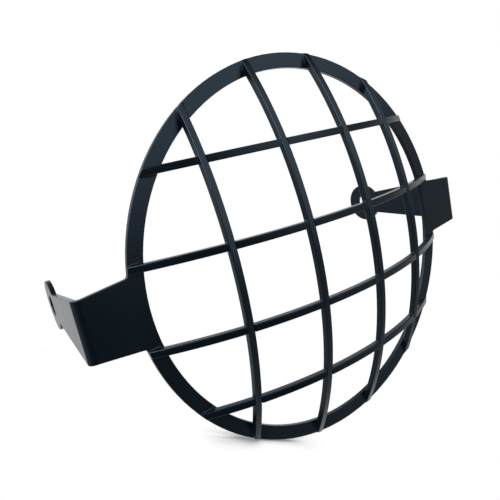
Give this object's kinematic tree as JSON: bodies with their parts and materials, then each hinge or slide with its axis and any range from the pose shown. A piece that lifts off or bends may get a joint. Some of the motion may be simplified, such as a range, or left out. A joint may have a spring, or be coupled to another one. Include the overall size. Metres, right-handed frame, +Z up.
{
  "type": "motorcycle headlight guard",
  "caption": "Round domed bar grille on a flat steel ring, with a side arm folded back on each side that ends in a bolt eye; it guards a round motorcycle headlight.",
  "frame": {"origin": "middle of the ring's round opening at the ring's back face, which rests on the lamp's rim", "axes": "+Y points back through the opening, the way the lens leaves it; the dome of bars faces -Y; +X runs from one arm to the other; +Z is up"},
  "size_m": [0.2212, 0.1043, 0.18],
  "materials": {
    "powder_coated_steel": "satin black powder coat on mild steel, slightly blue, with a very fine texture"
  },
  "bodies": {
    "root": {"ring_and_arms": "powder_coated_steel", "upright_bar_1": "powder_coated_steel", "upright_bar_2": "powder_coated_steel", "upright_bar_3": "powder_coated_steel", "upright_bar_4": "powder_coated_steel", "cross_bar_1": "powder_coated_steel", "cross_bar_2": "powder_coated_steel", "cross_bar_3": "powder_coated_steel", "cross_bar_4": "powder_coated_steel"}
  },
  "joints": []
}
